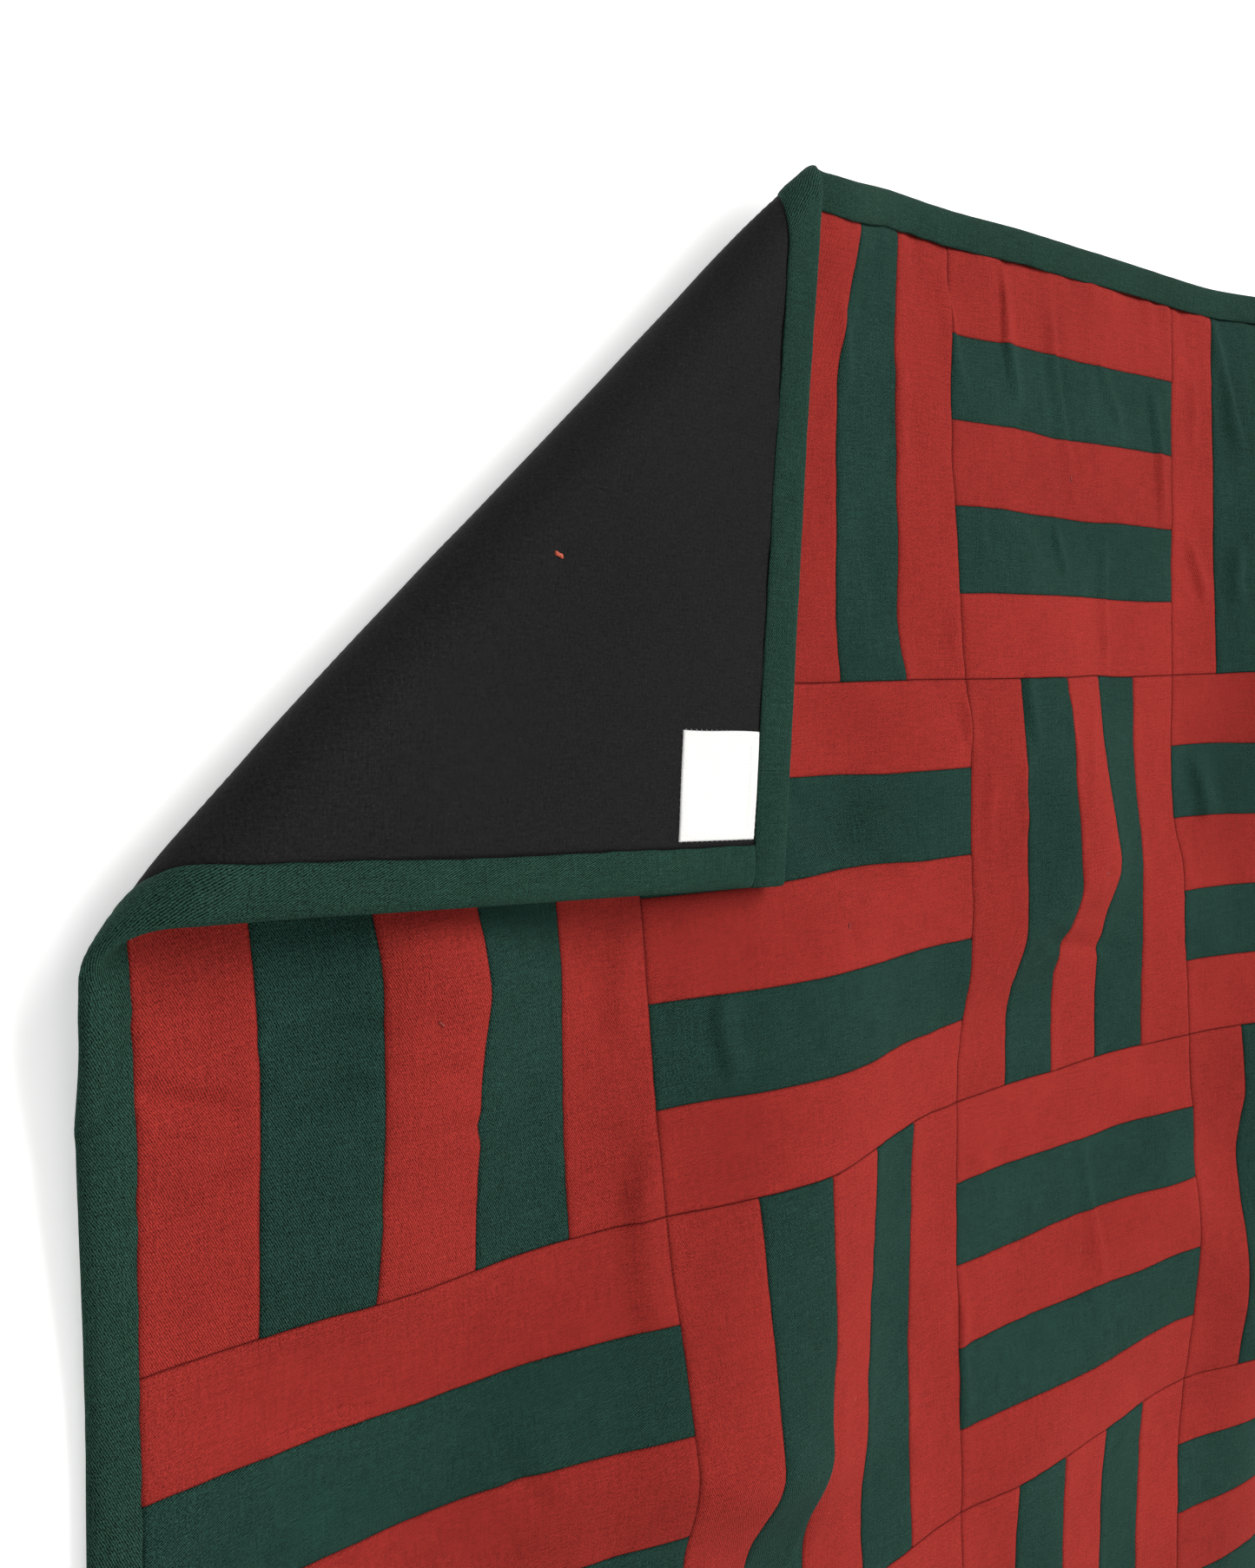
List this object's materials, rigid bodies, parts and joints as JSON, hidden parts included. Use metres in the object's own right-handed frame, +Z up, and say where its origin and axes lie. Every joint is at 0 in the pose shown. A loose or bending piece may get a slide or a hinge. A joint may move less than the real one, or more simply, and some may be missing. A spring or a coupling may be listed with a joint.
{
  "type": "hanging patchwork quilt",
  "caption": "Pieced cotton quilt hanging flat against a wall, one top corner folded forward and down to show the dark backing and a small bare label.",
  "frame": {"origin": "middle of the top edge, on the plane that the quilt hangs against", "axes": "+Z up, +X to the right as seen from the front, and the front faces -Y"},
  "size_m": [1.0435, 0.0495, 1.2927],
  "materials": {
    "patchwork": "matt cotton twill in red and dark green strips",
    "backing": "matt near-black plain cotton",
    "binding": "matt dark green cotton twill",
    "label": "white woven cotton, bare"
  },
  "bodies": {
    "root": {"pieced_top": "patchwork", "backing": "backing", "binding_top": "binding", "binding_bottom": "binding", "binding_left": "binding", "binding_right": "binding", "label": "label"}
  },
  "joints": []
}
